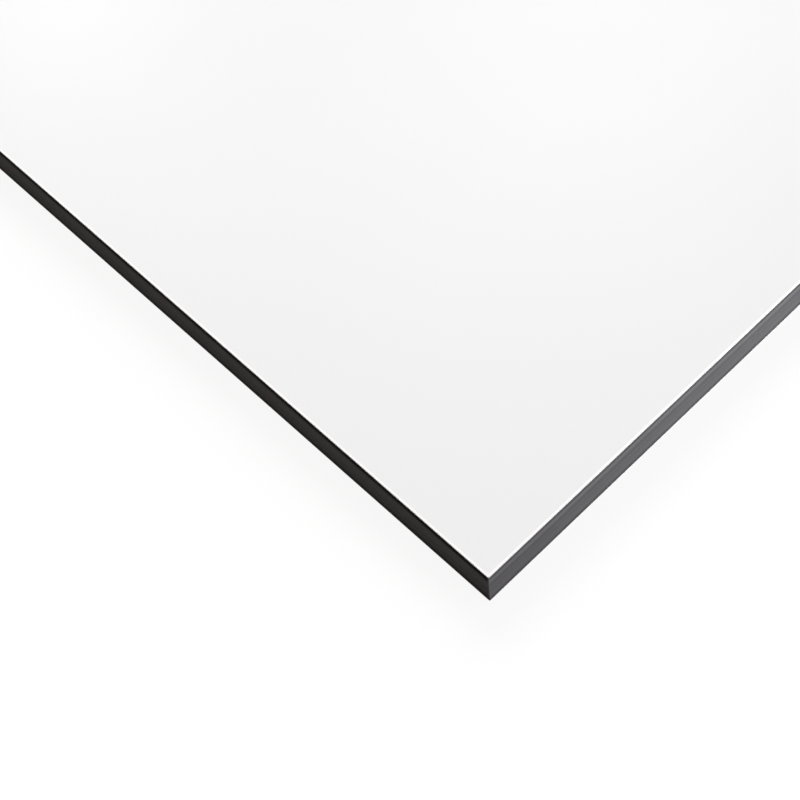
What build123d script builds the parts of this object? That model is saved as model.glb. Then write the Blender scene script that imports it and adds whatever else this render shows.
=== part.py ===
from build123d import *
import os

# Compact laminate board, lying flat with its decor face up.
# A hard black core of resin-bonded papers is pressed between two thin white decor sheets.
# Millimetres, +Z up, +X along the long edge, origin at the middle of the underside.

# Driving dimensions
sheet_length = 2440.0
sheet_width = 1220.0
board_thickness = 12.0  # over both decor sheets
decor_thickness = 0.3  # one decor sheet with its white underlay
corner_radius = 0.3  # the four upright corners, eased by hand after the saw
arris_width = 0.1  # bevel that takes the sharpness off each decor sheet's outer edge

# Levels of the pressed layers, upwards from the underside
core_bottom = decor_thickness
core_thickness = board_thickness - 2 * decor_thickness
face_bottom = core_bottom + core_thickness

# All three layers are sawn in one cut, so they share one outline
with BuildSketch() as sawn_outline:
    RectangleRounded(sheet_length, sheet_width, corner_radius)

# Core: the stack of black papers that shows on the four edges
with BuildPart() as core:
    with BuildSketch(Plane.XY.offset(core_bottom)):
        add(sawn_outline.sketch)
    extrude(amount=core_thickness)
core.part.label = "core"

# Decor sheet on the upper face, bevelled round its upper edge
with BuildPart() as decor_face:
    with BuildSketch(Plane.XY.offset(face_bottom)):
        add(sawn_outline.sketch)
    extrude(amount=decor_thickness)
    outer_arris = decor_face.edges().group_by(Axis.Z)[-1]
    chamfer(outer_arris, length=arris_width)
decor_face.part.label = "decor_face"

# Decor sheet on the underside: the same sheet mirrored about the middle of the board
with BuildPart() as decor_back:
    mirror(decor_face.part, about=Plane.XY.offset(board_thickness / 2))
decor_back.part.label = "decor_back"

os.makedirs("parts", exist_ok=True)
for layer in (core, decor_face, decor_back):
    export_step(layer.part, f"parts/{layer.part.label}.step")
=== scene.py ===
import math
import bpy
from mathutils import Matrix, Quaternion, Vector


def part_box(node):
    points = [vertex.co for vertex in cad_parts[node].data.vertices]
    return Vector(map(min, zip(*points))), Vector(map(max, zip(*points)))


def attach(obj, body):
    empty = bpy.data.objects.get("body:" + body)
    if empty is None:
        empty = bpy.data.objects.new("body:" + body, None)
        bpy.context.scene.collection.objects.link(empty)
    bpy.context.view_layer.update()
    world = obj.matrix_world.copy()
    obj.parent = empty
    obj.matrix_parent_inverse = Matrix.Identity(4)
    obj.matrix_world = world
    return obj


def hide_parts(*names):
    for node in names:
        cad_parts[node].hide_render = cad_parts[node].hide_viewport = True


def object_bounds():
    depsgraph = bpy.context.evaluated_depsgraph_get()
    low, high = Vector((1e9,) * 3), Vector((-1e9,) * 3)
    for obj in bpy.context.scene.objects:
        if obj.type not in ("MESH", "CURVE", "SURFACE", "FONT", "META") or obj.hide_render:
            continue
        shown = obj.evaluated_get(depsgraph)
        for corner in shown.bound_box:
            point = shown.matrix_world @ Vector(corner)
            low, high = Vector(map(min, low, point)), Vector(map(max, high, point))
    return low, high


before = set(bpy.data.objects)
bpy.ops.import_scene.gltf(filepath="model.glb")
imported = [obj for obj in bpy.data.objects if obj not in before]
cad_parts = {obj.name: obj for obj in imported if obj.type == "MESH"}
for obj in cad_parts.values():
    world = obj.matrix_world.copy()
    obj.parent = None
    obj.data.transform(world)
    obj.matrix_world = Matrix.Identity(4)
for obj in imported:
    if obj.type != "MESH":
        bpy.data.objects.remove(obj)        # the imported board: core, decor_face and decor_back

# A compact laminate board lies on a pale floor with its decor face up.
# Everything is in metres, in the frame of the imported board.

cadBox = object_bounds()
boardLow, boardHigh = cadBox
coreLow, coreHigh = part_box("core")
boardLength = boardHigh.x - boardLow.x
boardWidth = boardHigh.y - boardLow.y
print("frame loaded, board", round(boardLength, 3), "x", round(boardWidth, 3))


# Camera: it looks down on the near corner, where the core meets the decor face

cameraValues = {
    "lens": 70.0,
    "sensor": 36.0,
    "azimuth": 52.61,       # degrees, 0 looks along +Y
    "elevation": 58.09,
    "roll": -8.13,
    "distance": 0.3296,     # from the near corner, along the view
    "right": -0.0132,       # sideways from the near corner
    "up": 0.0401,
    "nearest": 0.01,        # it sees nothing nearer or farther than these
    "farthest": 200,
}


def addCamera(values):
    azimuth = math.radians(values["azimuth"])
    elevation = math.radians(values["elevation"])
    back = Vector((math.sin(azimuth) * math.cos(elevation),
                   -math.cos(azimuth) * math.cos(elevation),
                   math.sin(elevation)))
    right = Vector((math.cos(azimuth), math.sin(azimuth), 0))
    up = back.cross(right)
    data = bpy.data.cameras.new("camera")
    data.sensor_width = values["sensor"]
    data.lens = values["lens"]
    data.clip_start = values["nearest"]
    data.clip_end = values["farthest"]
    camera = bpy.data.objects.new("camera", data)
    bpy.context.scene.collection.objects.link(camera)
    nearCorner = Vector((boardHigh.x, boardLow.y, coreHigh.z))
    camera.location = (nearCorner + back * values["distance"]
                       + right * values["right"] + up * values["up"])
    camera.rotation_mode = "QUATERNION"
    level = (-back).to_track_quat("-Z", "Y")
    camera.rotation_quaternion = level @ Quaternion((0, 0, 1), math.radians(values["roll"]))
    bpy.context.scene.camera = camera


addCamera(cameraValues)
print("camera set")


# Node trees

class Term:
    # Wraps one socket of a node tree, so that a sum on it is written as a sum

    def __init__(self, tree, socket=None):
        self.tree = tree
        self.socket = socket

    def node(self, kind, settings=None, inputs=None, output=0):
        # Adds any node: its settings first, then values or links, and wraps the output asked for
        made = self.tree.nodes.new(kind)
        for name, value in (settings or {}).items():
            if name == "stops":
                setStops(made.color_ramp.elements, value)
            else:
                setattr(made, name, value)
        for name, value in (inputs or {}).items():
            feed(self.tree, pick(made.inputs, name), value)
        return Term(self.tree, pick(made.outputs, output)) if made.outputs else made

    def maths(self, operation, *others):
        return self.node("ShaderNodeMath", {"operation": operation}, dict(enumerate((self, *others))))

    def __add__(self, other):
        return self.maths("ADD", other)

    def __sub__(self, other):
        return self.maths("SUBTRACT", other)

    def __rsub__(self, other):
        return self.node("ShaderNodeMath", {"operation": "SUBTRACT"}, {0: other, 1: self})

    def __mul__(self, other):
        return self.maths("MULTIPLY", other)

    def __truediv__(self, other):
        return self.maths("DIVIDE", other)

    def __lt__(self, other):
        return self.maths("LESS_THAN", other)

    def __gt__(self, other):
        return self.maths("GREATER_THAN", other)

    __radd__ = __add__
    __rmul__ = __mul__


def pick(sockets, name):
    inUse = [socket for socket in sockets if socket.enabled]
    if isinstance(name, int):
        return inUse[name]
    return next(socket for socket in inUse if socket.name == name)


def setStops(elements, stops):
    # The stops of a grey ramp, each a place and a tone
    while len(elements) < len(stops):
        elements.new(1.0)
    for element, (place, tone) in zip(elements, stops):
        element.position = place
        element.color = (tone, tone, tone, 1)


def feed(tree, socket, value):
    if isinstance(value, Term):
        tree.links.new(value.socket, socket)
    elif isinstance(value, list):
        for part in value:
            tree.links.new(part.socket, socket)
    else:
        socket.default_value = value


def parts(start, vector):
    return [start.node("ShaderNodeSeparateXYZ", None, {"Vector": vector}, axis) for axis in "XYZ"]


def choose(mask, off, on):
    # off where the mask is 0 and on where it is 1
    return off + mask * (on - off)


def centred(value):
    # Moves a value that runs from 0 to 1 so that its middle is 0
    return value - 0.5


def shareOf(place, span):
    # How far along a span a place is, from 0 to 1, where the span's middle is at 0
    return place / span + 0.5


# Geometry Nodes: each layer is a closed shell, its section swept round the sawn outline

halfStep = 0.5               # between two counts, so that rounding can't tip a comparison
socketKinds = {int: "NodeSocketInt", float: "NodeSocketFloat",
               bpy.types.Material: "NodeSocketMaterial"}


def newShapeTree(name, sizes):
    # An empty tree with one named input for each size; gives them back by name
    tree = bpy.data.node_groups.new(name, "GeometryNodeTree")
    tree.interface.new_socket("Geometry", in_out="OUTPUT", socket_type="NodeSocketGeometry")
    for label, value in sizes.items():
        tree.interface.new_socket(label, in_out="INPUT", socket_type=socketKinds[type(value)])
    entry = tree.nodes.new("NodeGroupInput")
    return tree, {label: Term(tree, entry.outputs[label]) for label in sizes}


def growPiece(name, tree, sizes):
    # Runs the tree once and keeps its result as a plain mesh
    piece = bpy.data.objects.new(name, bpy.data.meshes.new(name))
    bpy.context.scene.collection.objects.link(piece)
    modifier = piece.modifiers.new(name, "NODES")
    modifier.node_group = tree
    for item in tree.interface.items_tree:
        if item.in_out == "INPUT":
            modifier[item.identifier] = sizes[item.name]
    graph = bpy.context.evaluated_depsgraph_get()
    plain = bpy.data.meshes.new_from_object(piece.evaluated_get(graph))
    piece.modifiers.remove(modifier)
    piece.data = plain
    print(name, "has", len(plain.polygons), "faces")
    return piece


outlineValues = {
    "cornerRadius": 0.0003,
    "cornerSteps": 6,
    "sideStep": 0.02,        # between points along the sides
}


def layerSizes(node, finish):
    # The sizes that the tree of every layer takes, with the one outline that they share
    low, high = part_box(node)
    return {
        "Length": boardLength,
        "Width": boardWidth,
        "Top": high.z,
        "Bottom": low.z,
        "Corner Radius": outlineValues["cornerRadius"],
        "Corner Steps": outlineValues["cornerSteps"],
        "Side Step": outlineValues["sideStep"],
        "Finish": finish,
    }


def sawnOutline(start, size):
    # A rectangle with eased corners, with points all along its sides, at the layer's top
    square = start.node("GeometryNodeCurvePrimitiveQuadrilateral", {"mode": "RECTANGLE"},
                        {"Width": size["Length"], "Height": size["Width"]})
    eased = start.node("GeometryNodeFilletCurve", {"mode": "POLY"},
                       {"Curve": square, "Count": size["Corner Steps"],
                        "Radius": size["Corner Radius"]})
    index = start.node("GeometryNodeInputIndex")
    pointsPerCorner = size["Corner Steps"] + 1
    corner = (index / pointsPerCorner).maths("FLOOR")
    endsCorner = index - corner * pointsPerCorner > size["Corner Steps"] - halfStep
    isShortSide = corner.maths("MODULO", 2)
    cuts = endsCorner * (choose(isShortSide, size["Length"], size["Width"]) / size["Side Step"])
    divided = start.node("GeometryNodeSubdivideCurve", None, {"Curve": eased, "Cuts": cuts})
    lift = start.node("ShaderNodeCombineXYZ", None, {"Z": size["Top"]})
    return start.node("GeometryNodeSetPosition", None, {"Geometry": divided, "Offset": lift})


def sectionLine(start, count, outward, depth):
    # A section drawn from the top down: outward points away from the board
    line = start.node("GeometryNodeCurvePrimitiveLine", {"mode": "POINTS"}, {"End": (0, 1, 0)})
    points = start.node("GeometryNodeResampleCurve", {"mode": "COUNT"},
                        {"Curve": line, "Count": count})
    place = start.node("ShaderNodeCombineXYZ", None, {"X": outward, "Y": depth})
    return start.node("GeometryNodeSetPosition", None, {"Geometry": points, "Position": place})


weldReach = 0.000002         # rim points this near each other become one


def closeShell(start, size, skin):
    # Fills the two open rims of a swept skin, where an edge has one face only, and welds it all
    isRim = start.node("GeometryNodeInputMeshEdgeNeighbors") < 1 + halfStep
    x, y, z = parts(start, start.node("GeometryNodeInputPosition"))
    isUpper = z > (size["Top"] + size["Bottom"]) / 2
    shell = [skin]
    for rim, level in ((isRim * isUpper, "Top"), (isRim * (1 - isUpper), "Bottom")):
        loop = start.node("GeometryNodeMeshToCurve", None, {"Mesh": skin, "Selection": rim})
        flat = start.node("GeometryNodeFillCurve", {"mode": "NGONS"}, {"Curve": loop})
        lift = start.node("ShaderNodeCombineXYZ", None, {"Z": size[level]})
        lid = start.node("GeometryNodeSetPosition", None, {"Geometry": flat, "Offset": lift})
        if level == "Bottom":
            lid = start.node("GeometryNodeFlipFaces", None, {"Mesh": lid})
        shell.append(lid)
    joined = start.node("GeometryNodeJoinGeometry", None, {"Geometry": shell})
    return start.node("GeometryNodeMergeByDistance", None, {"Geometry": joined, "Distance": weldReach})


def endTree(start, size, shell):
    real = start.node("GeometryNodeRealizeInstances", None, {"Geometry": shell})
    dressed = start.node("GeometryNodeSetMaterial", None,
                         {"Geometry": real, "Material": size["Finish"]})
    start.node("NodeGroupOutput", None, {"Geometry": dressed})


# Core: sixty black papers, each standing a hair back from the saw cut

coreValues = {
    "papers": 60,
    "relief": 0.000025,     # the most that one paper stands back
    "glueLine": 0.3,        # share of a paper's height that slopes to the next one
    "seed": 7,
    "longStrips": 4,        # strips that a long side is cut into on the flat map
    "shortStrips": 2,
    "stripInset": 0.04,     # share of a strip left free round its part of the map
    "lidFacing": 0.7,       # faces that point up or down more than this belong to a lid
}


def onFaces(start, value):
    # Reads the value once for each face, at its middle
    return start.node("GeometryNodeFieldOnDomain", {"data_type": "FLOAT", "domain": "FACE"},
                      {"Value": value})


def layEdgesFlat(start, size, shell):
    # A flat map stored as OFBake: each strip of the sides has a row of it, then each lid
    x, y, z = parts(start, start.node("GeometryNodeInputPosition"))
    facing = [onFaces(start, part) for part in parts(start, start.node("GeometryNodeInputNormal"))]
    isShort = facing[0].maths("ABSOLUTE") > facing[1].maths("ABSOLUTE")
    isLid = facing[2].maths("ABSOLUTE") > size["Lid Facing"]
    shareX = shareOf(x, size["Length"])
    shareY = shareOf(y, size["Width"])
    along = choose(isShort, shareX * size["Long Strips"], shareY * size["Short Strips"])
    strip = onFaces(start, along).maths("FLOOR")
    longRow = strip + (facing[1] > 0) * size["Long Strips"]
    shortRow = strip + (facing[0] > 0) * size["Short Strips"] + size["Long Strips"] * 2
    lidRow = (size["Long Strips"] + size["Short Strips"]) * 2 + (facing[2] > 0)
    rows = (size["Long Strips"] + size["Short Strips"] + 1) * 2
    row = choose(isLid, choose(isShort, longRow, shortRow), lidRow)
    across = choose(isLid, along - strip, shareX)
    up = choose(isLid, (z - size["Bottom"]) / (size["Top"] - size["Bottom"]), shareY)
    room = 1 - size["Strip Inset"] * 2
    place = start.node("ShaderNodeCombineXYZ", None,
                       {"X": size["Strip Inset"] + across * room,
                        "Y": (row + size["Strip Inset"] + up * room) / rows})
    return start.node("GeometryNodeStoreNamedAttribute", {"data_type": "FLOAT2", "domain": "CORNER"},
                      {"Geometry": shell, "Name": "OFBake", "Value": place})


def coreTree(sizes):
    tree, size = newShapeTree("pressedPapers", sizes)
    start = Term(tree)
    index = start.node("GeometryNodeInputIndex")
    paper = (index / 2).maths("FLOOR")
    isLowerEdge = index - paper * 2
    pitch = (size["Top"] - size["Bottom"]) / size["Papers"]
    isFirst = paper < halfStep
    isLast = paper > size["Papers"] - 1 - halfStep
    halfSlope = pitch * size["Glue Line"] / 2
    upperEdge = paper * pitch + halfSlope * (1 - isFirst)
    lowerEdge = paper * pitch + pitch - halfSlope * (1 - isLast)
    depth = choose(isLowerEdge, upperEdge, lowerEdge)
    draw = start.node("FunctionNodeRandomValue", {"data_type": "FLOAT"},
                      {"ID": paper, "Seed": size["Seed"]})
    outward = draw * size["Relief"] * (isFirst + isLast - 1)
    section = sectionLine(start, size["Papers"] * 2, outward, depth)
    toned = start.node("GeometryNodeStoreNamedAttribute", {"data_type": "FLOAT", "domain": "POINT"},
                       {"Geometry": section, "Name": "paperTone", "Value": draw})
    skin = start.node("GeometryNodeCurveToMesh", None,
                      {"Curve": sawnOutline(start, size), "Profile Curve": toned})
    endTree(start, size, layEdgesFlat(start, size, closeShell(start, size, skin)))
    return tree


# Decor sheets: thin, with a rounded arris round the outer face

sheetValues = {
    "arris": 0.0001,
    "arrisSteps": 5,
}


def sheetTree(sizes):
    tree, size = newShapeTree("decorSheet", sizes)
    start = Term(tree)
    index = start.node("GeometryNodeInputIndex")
    faceDown = size["Face Down"]
    fromArris = choose(faceDown, index, size["Arris Steps"] + 1 - index)
    turn = (fromArris / size["Arris Steps"]).maths("MINIMUM", 1.0) * (math.pi / 2)
    pastArris = fromArris > size["Arris Steps"] + halfStep
    thickness = size["Top"] - size["Bottom"]
    outward = size["Arris"] * (turn.maths("SINE") - 1)
    fromFace = size["Arris"] * (1 - turn.maths("COSINE")) + pastArris * (thickness - size["Arris"])
    depth = choose(faceDown, fromFace, thickness - fromFace)
    section = sectionLine(start, size["Arris Steps"] + 2, outward, depth)
    skin = start.node("GeometryNodeCurveToMesh", None,
                      {"Curve": sawnOutline(start, size), "Profile Curve": section})
    endTree(start, size, closeShell(start, size, skin))
    return tree


# Materials

def newFinish(name):
    # A material with a bare Principled shader: its tree, its shader and a first term
    finish = bpy.data.materials.new(name)
    finish.use_nodes = True
    tree = finish.node_tree
    return finish, tree, tree.nodes["Principled BSDF"], Term(tree)


def noise(start, place, scale, detail):
    return start.node("ShaderNodeTexNoise", None, {"Vector": place, "Scale": scale, "Detail": detail})


def blend(start, factor, first, second):
    return start.node("ShaderNodeMix", {"data_type": "RGBA"}, {"Factor": factor, "A": first, "B": second})


def ramp(start, value, low, high):
    # 0 at low and 1 at high, held outside them
    return start.node("ShaderNodeMapRange", None, {"Value": value, "From Min": low, "From Max": high})


def sideClearances(x, y):
    # How far a point lies inside the short sides and inside the long ones
    return boardLength / 2 - x.maths("ABSOLUTE"), boardWidth / 2 - y.maths("ABSOLUTE")


decorLook = {
    "white": (0.852, 0.863, 0.864, 1),
    "shade": (0.836, 0.846, 0.847, 1),
    "rim": (0.98, 0.98, 0.98, 1),       # the outermost strip, a painted highlight brighter than the face
    "rimFull": 0.0005,          # how far in from the edge it is at its brightest
    "rimEnd": 0.0006,           # and where it has faded out
    "cut": (0.70, 0.695, 0.685, 1),     # the sheet's sawn edge below the arris
    "cloudScale": 9.0,          # broad clouds that are hardly seen
    "cloudDetail": 3.0,
    "cloudShare": 0.7,          # of the tone; the fine grain has the rest
    "grainScale": 2600.0,
    "grainDetail": 2.0,
    "peelScale": 700.0,         # fine orange peel left by the press plate
    "peelDetail": 2.0,
    "peelShare": 0.7,
    "peelStrength": 0.25,
    "peelDepth": 0.00002,
    "roughness": 0.32,
    "roughnessSpread": 0.12,
}


def decorFinish(look):
    finish, tree, shader, start = newFinish("satinWhiteDecor")
    place = start.node("ShaderNodeTexCoord", None, None, "Object")
    x, y, z = parts(start, place)
    cloud = noise(start, place, look["cloudScale"], look["cloudDetail"])
    grain = noise(start, place, look["grainScale"], look["grainDetail"])
    peel = noise(start, place, look["peelScale"], look["peelDetail"])
    insideShort, insideLong = sideClearances(x, y)
    # The rim is a painted highlight: a brighter strip along the outer edge of the face, standing in for
    # the arris catching light.
    rim = ramp(start, insideShort.maths("MINIMUM", insideLong), look["rimEnd"], look["rimFull"])
    isCut = (boardHigh.z - z).maths("MINIMUM", z - boardLow.z) > sheetValues["arris"]
    mottle = choose(look["cloudShare"], grain, cloud)
    tone = blend(start, rim, blend(start, mottle, look["white"], look["shade"]), look["rim"])
    feed(tree, shader.inputs["Base Color"], blend(start, isCut, tone, look["cut"]))
    feed(tree, shader.inputs["Roughness"], look["roughness"] + centred(mottle) * look["roughnessSpread"])
    bump = start.node("ShaderNodeBump", None,
                      {"Strength": look["peelStrength"], "Distance": look["peelDepth"],
                       "Height": choose(look["peelShare"], grain, peel)})
    feed(tree, shader.inputs["Normal"], bump)
    return finish


coreLook = {
    "dark": (0.0062, 0.0057, 0.0058, 1),
    "pale": (0.246, 0.236, 0.240, 1),
    # Tone down the section: the long edges have a near-black seam under the decor, the short ones a paler
    # one. The long edges' darker seam is partly painted shade, for the side the lamps leave in shade.
    "longStrata": ((0.00, 0.00), (0.12, 0.02), (0.17, 0.25), (0.23, 0.48), (0.42, 0.50),
                   (0.50, 0.47), (0.60, 0.42), (0.78, 0.38), (0.86, 0.22), (1.00, 0.18)),
    "shortStrata": ((0.00, 0.42), (0.09, 0.38), (0.14, 0.58), (0.18, 0.69), (0.24, 0.56),
                    (0.30, 0.45), (0.38, 0.44), (0.50, 0.485), (0.82, 0.50), (0.92, 0.36), (1.00, 0.34)),
    "paperSpread": 0.10,        # how much the single papers differ
    "fibreSpread": 0.14,
    "blotchSpread": 0.10,
    "fibreLength": 60.0,        # fibres to a metre along the edge
    "fibreHeight": 4000.0,      # and up it
    "fibreDetail": 3.0,
    "blotchScale": 120.0,
    "blotchDetail": 2.0,
    "cornerHighlightWidth": 0.0005,       # width of the painted highlight down each corner
    "cornerTone": 0.75,
    "cornerFade": 0.6,          # how much the painted highlight has faded at the bottom
    "sawPitch": 0.0009,         # between the teeth marks
    "sawWander": 4.0,           # how far the blotches push a mark along, in radians
    "sawShare": 0.5,
    "sawStrength": 0.3,
    "sawDepth": 0.00002,
    "roughness": 0.6,
    "roughnessSpread": 0.2,
    "specular": 0.002,
}


def coreFinish(look):
    finish, tree, shader, start = newFinish("sawnBlackCore")
    place = start.node("ShaderNodeTexCoord", None, None, "Object")
    x, y, z = parts(start, place)
    along = x + y            # on an edge only one of the two changes
    depth = (coreHigh.z - z) / (coreHigh.z - coreLow.z)
    insideShort, insideLong = sideClearances(x, y)
    longTone = start.node("ShaderNodeValToRGB", {"stops": look["longStrata"]}, {0: depth}, "Color")
    shortTone = start.node("ShaderNodeValToRGB", {"stops": look["shortStrata"]}, {0: depth}, "Color")
    # The long and short edges take different tones down the section; the long edges' darker seam is
    # partly painted shade.
    strata = choose(insideShort < insideLong, longTone, shortTone)
    paper = start.node("ShaderNodeAttribute", {"attribute_name": "paperTone"}, None, "Fac")
    stretched = start.node("ShaderNodeCombineXYZ", None,
                           {"X": along * look["fibreLength"], "Y": z * look["fibreHeight"]})
    fibre = noise(start, stretched, 1.0, look["fibreDetail"])
    blotch = noise(start, place, look["blotchScale"], look["blotchDetail"])
    spread = (centred(paper) * look["paperSpread"] + centred(fibre) * look["fibreSpread"]
              + centred(blotch) * look["blotchSpread"])
    # A painted highlight down each vertical corner of the core, palest at the top and fading towards the
    # bottom.
    atCorner = ramp(start, insideShort.maths("MAXIMUM", insideLong), look["cornerHighlightWidth"], 0.0)
    paintedCornerHighlight = atCorner * (1 - depth * look["cornerFade"])
    level = choose(paintedCornerHighlight, strata + spread, look["cornerTone"])
    feed(tree, shader.inputs["Base Color"], blend(start, level, look["dark"], look["pale"]))
    feed(tree, shader.inputs["Roughness"], look["roughness"] + centred(fibre) * look["roughnessSpread"])
    shader.inputs["Specular IOR Level"].default_value = look["specular"]
    sawMarks = (along * (2 * math.pi / look["sawPitch"]) + blotch * look["sawWander"]).maths("SINE")
    bump = start.node("ShaderNodeBump", None,
                      {"Strength": look["sawStrength"], "Distance": look["sawDepth"],
                       "Height": sawMarks * look["sawShare"] + fibre})
    feed(tree, shader.inputs["Normal"], bump)
    return finish


# Pieces

def addPiece(name, tree, sizes, node):
    piece = growPiece(name, tree, sizes)
    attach(piece, "root")
    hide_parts(node)


coreSizes = layerSizes("core", coreFinish(coreLook))
coreSizes.update({
    "Papers": coreValues["papers"],
    "Relief": coreValues["relief"],
    "Glue Line": coreValues["glueLine"],
    "Seed": coreValues["seed"],
    "Long Strips": coreValues["longStrips"],
    "Short Strips": coreValues["shortStrips"],
    "Strip Inset": coreValues["stripInset"],
    "Lid Facing": coreValues["lidFacing"],
})
addPiece("sawnCore", coreTree(coreSizes), coreSizes, "core")

decorWhite = decorFinish(decorLook)
for name, node, faceDown in (("faceSheet", "decor_face", 0), ("backSheet", "decor_back", 1)):
    sheetSizes = layerSizes(node, decorWhite)
    sheetSizes.update({
        "Arris": sheetValues["arris"],
        "Arris Steps": sheetValues["arrisSteps"],
        "Face Down": faceDown,
    })
    addPiece(name, sheetTree(sheetSizes), sheetSizes, node)
print("pieces made")


# Floor, world and lamps

stageValues = {
    "reach": 40.0,          # half the floor's side
    "floorTone": 0.12,      # what the floor gives back to the board
    "glow": 0.90,           # lifts the floor to white where it is seen
    "ambient": 0.345,
    "ambientColor": (1.09, 0.98, 0.96, 1),
    "white": (1, 1, 1, 1),  # the floor and the world where they are seen
    # The key and the back lamp stay out of the gloss, or the face would glare white in low views.
    # The two sheens stand higher and brighten the face away from the near corner.
    "key": {"azimuth": 15, "elevation": 11, "strength": 0.86, "angle": 24,
            "color": (0.94, 0.985, 1.04), "inGloss": False},
    "back": {"azimuth": 138, "elevation": 28, "strength": 3.20, "angle": 54,
             "color": (0.965, 0.996, 1.004), "inGloss": False},
    "sheen": {"azimuth": 130, "elevation": 45, "strength": 0.335, "angle": 21,
              "color": (1, 1, 1), "inGloss": True},
    "sideSheen": {"azimuth": 155, "elevation": 41, "strength": 0.18, "angle": 6,
                  "color": (1, 1, 1), "inGloss": True},
    # The strip lies beside the right short edge and starts a little past the near corner,
    # so that edge brightens away from the corner.
    "strip": {"outside": 0.10, "pastCorner": 0.03, "strength": 0.883,
              "color": (0.94, 0.985, 1.04), "inGloss": False},
}


def seenDirectly(start):
    # 1 for the camera, for reflections and through glass, 0 where light bounces
    paths = [start.node("ShaderNodeLightPath", None, None, name)
             for name in ("Is Camera Ray", "Is Glossy Ray", "Is Transmission Ray")]
    return paths[0].maths("MAXIMUM", paths[1]).maths("MAXIMUM", paths[2])


def addFloor(values):
    reach = values["reach"]
    mesh = bpy.data.meshes.new("floor")
    mesh.from_pydata([(-reach, -reach, 0), (reach, -reach, 0), (reach, reach, 0), (-reach, reach, 0)],
                     [], [(0, 1, 2, 3)])
    floor = bpy.data.objects.new("floor", mesh)
    bpy.context.scene.collection.objects.link(floor)
    pale = bpy.data.materials.new("paleFloor")
    pale.use_nodes = True
    tree = pale.node_tree
    tree.nodes.remove(tree.nodes["Principled BSDF"])
    start = Term(tree)
    tone = values["floorTone"]
    matt = start.node("ShaderNodeBsdfDiffuse", None, {"Color": (tone, tone, tone, 1)})
    glow = start.node("ShaderNodeEmission", None,
                      {"Color": values["white"], "Strength": values["glow"]})
    both = start.node("ShaderNodeAddShader", None, {0: matt, 1: glow})
    shown = start.node("ShaderNodeMixShader", None, {0: seenDirectly(start), 1: matt, 2: both})
    feed(tree, tree.nodes["Material Output"].inputs["Surface"], shown)
    mesh.materials.append(pale)


def addWorld(values):
    world = bpy.data.worlds.new("studio")
    world.use_nodes = True
    bpy.context.scene.world = world
    tree = world.node_tree
    tree.nodes.remove(tree.nodes["Background"])
    start = Term(tree)
    ambient = start.node("ShaderNodeBackground", None,
                         {"Color": values["ambientColor"], "Strength": values["ambient"]})
    white = start.node("ShaderNodeBackground", None, {"Color": values["white"], "Strength": 1.0})
    shown = start.node("ShaderNodeMixShader", None, {0: seenDirectly(start), 1: ambient, 2: white})
    feed(tree, tree.nodes["World Output"].inputs["Surface"], shown)


def standLamp(lamp, values, towards):
    # Gives a lamp its light and turns it to shine from the direction given
    lamp.energy = values["strength"]
    lamp.color = values["color"]
    stand = bpy.data.objects.new(lamp.name, lamp)
    stand.visible_glossy = values["inGloss"]
    stand.rotation_mode = "QUATERNION"
    stand.rotation_quaternion = towards.to_track_quat("Z", "Y")
    bpy.context.scene.collection.objects.link(stand)
    return stand


def addSun(name, values):
    # A broad soft sun: azimuth is where it stands, 0 over +X and 90 over +Y
    lamp = bpy.data.lights.new(name, "SUN")
    lamp.angle = math.radians(values["angle"])
    azimuth = math.radians(values["azimuth"])
    elevation = math.radians(values["elevation"])
    standLamp(lamp, values, Vector((math.cos(azimuth) * math.cos(elevation),
                                    math.sin(azimuth) * math.cos(elevation),
                                    math.sin(elevation))))


def addStrip(name, values):
    # A long lamp out along +X, as high as the core, so it lights the sawn edge and not the decor face
    lamp = bpy.data.lights.new(name, "AREA")
    lamp.shape = "RECTANGLE"
    lamp.size = boardWidth - values["pastCorner"]
    lamp.size_y = coreHigh.z - coreLow.z
    strip = standLamp(lamp, values, Vector((1, 0, 0)))
    strip.visible_camera = False
    strip.location = (boardHigh.x + values["outside"], boardHigh.y - lamp.size / 2,
                      (coreHigh.z + coreLow.z) / 2)


addFloor(stageValues)
addWorld(stageValues)
for lampName in ("key", "back", "sheen", "sideSheen"):
    addSun(lampName + "Lamp", stageValues[lampName])
addStrip("stripLamp", stageValues["strip"])
bpy.context.scene.view_settings.view_transform = "Standard"
print("stage lit")
